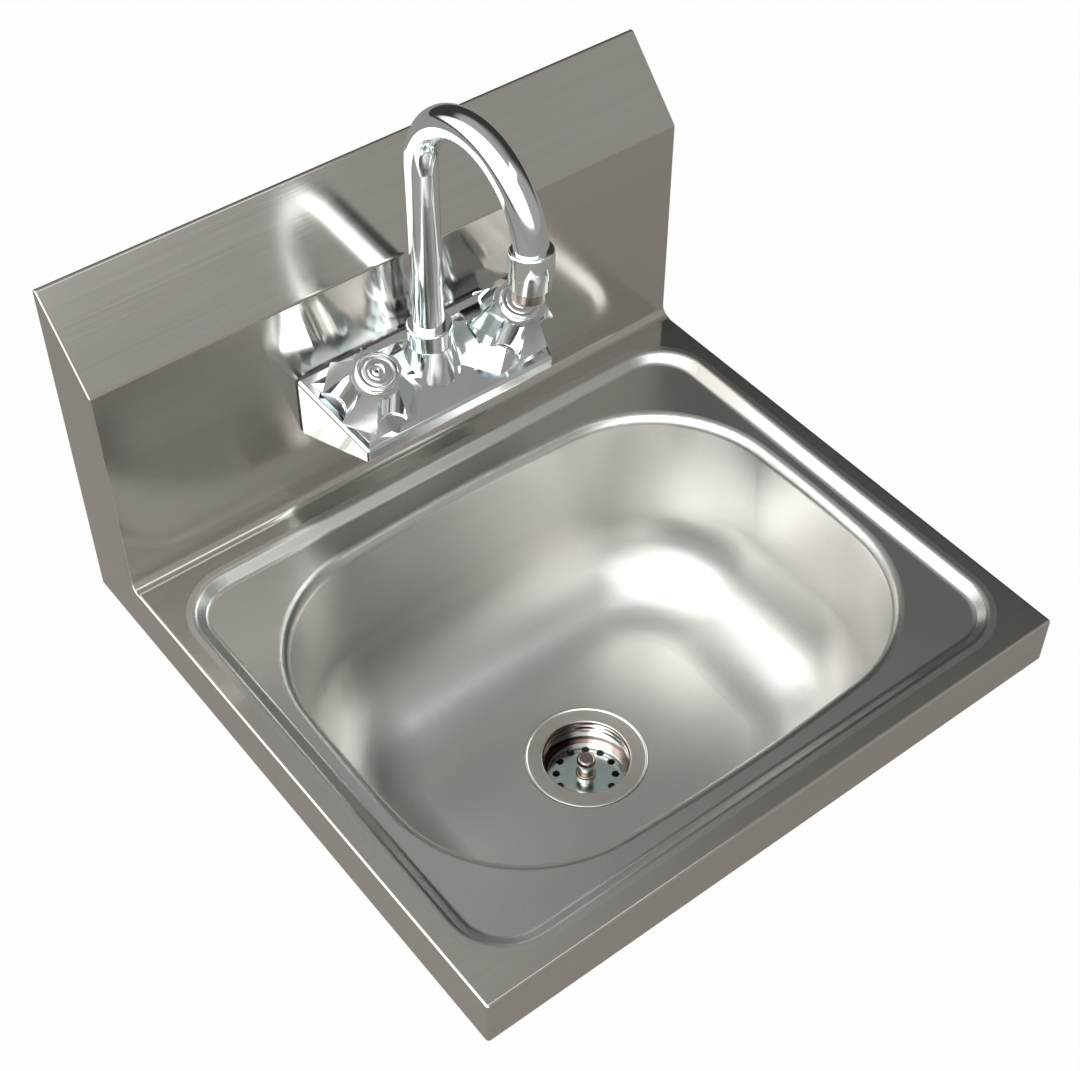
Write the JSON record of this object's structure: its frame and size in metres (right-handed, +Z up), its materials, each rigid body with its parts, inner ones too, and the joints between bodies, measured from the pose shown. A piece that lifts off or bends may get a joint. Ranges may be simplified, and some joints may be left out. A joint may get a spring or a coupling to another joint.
{
  "type": "wall-hung hand basin",
  "caption": "Wall-hung stainless hand basin: pressed bowl, splash with a sloped top, gooseneck faucet on the splash, turning handles, and a drain with a lift-out strainer.",
  "frame": {"origin": "on the wall, midway between the two screws of the wall bracket", "axes": "+X to the user's right, +Y back into the wall, +Z up"},
  "size_m": [0.4064, 0.3905, 0.59],
  "materials": {
    "brushed_stainless": "brushed along its length",
    "satin_stainless": "satin, pressed",
    "drain_steel": "satin flange, polished cup",
    "strainer_steel": "polished",
    "faucet_chrome": "polished plating",
    "nozzle_chrome": "polished plating",
    "button_chrome": "polished plating",
    "plated_brass": "chromed",
    "brass": "machined",
    "zinc_casting": "die-cast zinc",
    "steel_fasteners": "plain",
    "black_rubber": "moulded",
    "white_plastic": "moulded",
    "fibre_ring": "fibre board",
    "ceramic": "lapped alumina"
  },
  "bodies": {
    "basin": {"deck_splash": "brushed_stainless", "left_end_panel": "brushed_stainless", "right_end_panel": "brushed_stainless", "bowl": "satin_stainless", "wall_bracket": "brushed_stainless", "drain_cup": "drain_steel", "drain_gasket": "black_rubber", "drain_friction_ring": "fibre_ring", "drain_locknut": "zinc_casting", "tailpiece_washer": "black_rubber", "tailpiece": "plated_brass", "tailpiece_nut": "plated_brass", "faucet_body": "faucet_chrome", "faucet_gasket": "black_rubber", "hot_shank": "brass", "cold_shank": "brass", "shank_washers": "steel_fasteners", "shank_locknuts": "brass", "spout_nut": "faucet_chrome", "hot_seat_seal": "black_rubber", "hot_fixed_disc": "ceramic", "hot_bonnet": "brass", "cold_seat_seal": "black_rubber", "cold_fixed_disc": "ceramic", "cold_bonnet": "brass"},
    "hot_valve": {"hot_moving_disc": "ceramic", "hot_stem": "brass", "hot_handle": "faucet_chrome", "hot_handle_screw": "steel_fasteners", "hot_button": "button_chrome"},
    "cold_valve": {"cold_moving_disc": "ceramic", "cold_stem": "brass", "cold_handle": "faucet_chrome", "cold_handle_screw": "steel_fasteners", "cold_button": "button_chrome"},
    "spout": {"spout_tube": "faucet_chrome", "spout_ferrule": "white_plastic", "spout_seals": "black_rubber", "aerator_housing": "nozzle_chrome", "aerator_washer": "black_rubber", "aerator_insert": "white_plastic"},
    "basket": {"strainer_plate": "strainer_steel", "strainer_post": "strainer_steel", "strainer_nut": "strainer_steel"}
  },
  "joints": [
    {"name": "hot_turn", "type": "hinge", "parent": "basin", "child": "hot_valve", "pos_m": [-0.0508, -0.0718, -0.07289], "axis": [0, -0.4365, 0.8997], "range_deg": [0, 90]},
    {"name": "cold_turn", "type": "hinge", "parent": "basin", "child": "cold_valve", "pos_m": [0.0508, -0.0718, -0.07289], "axis": [0, 0.4365, -0.8997], "range_deg": [0, 90]},
    {"name": "spout_swivel", "type": "hinge", "parent": "basin", "child": "spout", "pos_m": [0, -0.0668, -0.0575], "axis": [0, 0, 1], "range_deg": [-90, 90]},
    {"name": "basket_lift", "type": "slide", "parent": "basin", "child": "basket", "axis": [0, 0, 1], "range_m": [0, 0.2]}
  ]
}
